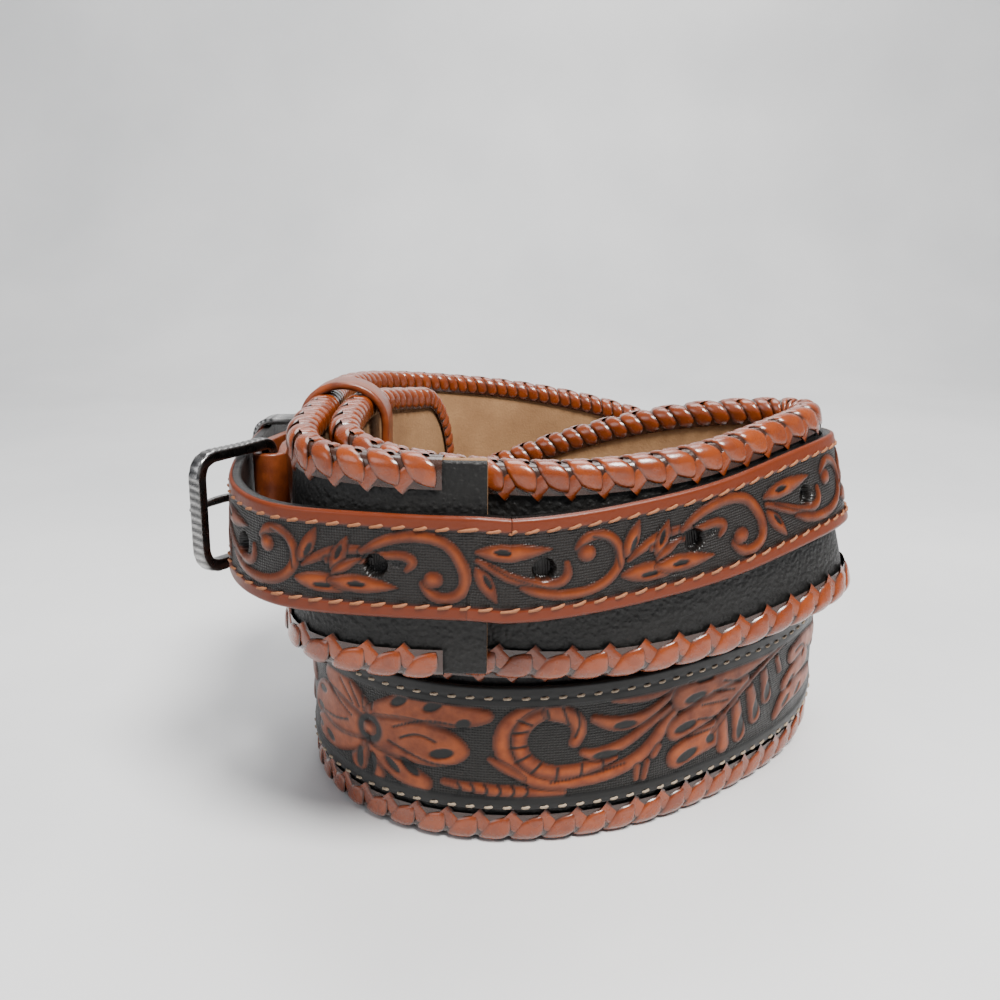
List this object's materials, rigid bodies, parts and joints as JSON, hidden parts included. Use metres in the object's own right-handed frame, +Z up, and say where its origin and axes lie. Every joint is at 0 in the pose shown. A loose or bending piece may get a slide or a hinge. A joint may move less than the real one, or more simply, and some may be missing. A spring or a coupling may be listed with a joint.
{
  "type": "western tooled belt",
  "caption": "Western ranger belt, buckled and coiled on edge: black body with laced edges, tooled strap over the front and a gunmetal buckle.",
  "frame": {"origin": "centre of the bounding box in plan, on the surface the coil stands on", "axes": "+X to the right of the square end's face, along the front of the coil; +Y away from the front; +Z up across the belt's width"},
  "size_m": [0.1358, 0.1282, 0.0843],
  "materials": {
    "black_leather": "pebbled semi-gloss",
    "lining_leather": "matte suede",
    "lace_leather": "glossy",
    "tooled_leather": "carved, semi-gloss",
    "gunmetal": "engraved dark plating"
  },
  "bodies": {
    "root": {"belt_body": "black_leather", "belt_lining": "lining_leather", "upper_lacing": "lace_leather", "lower_lacing": "lace_leather", "tooled_overlay": "tooled_leather", "billet_strap": "tooled_leather", "buckle_strap": "tooled_leather", "buckle_frame": "gunmetal", "buckle_prong": "gunmetal", "metal_keeper": "gunmetal", "leather_keeper": "lining_leather"}
  },
  "joints": []
}
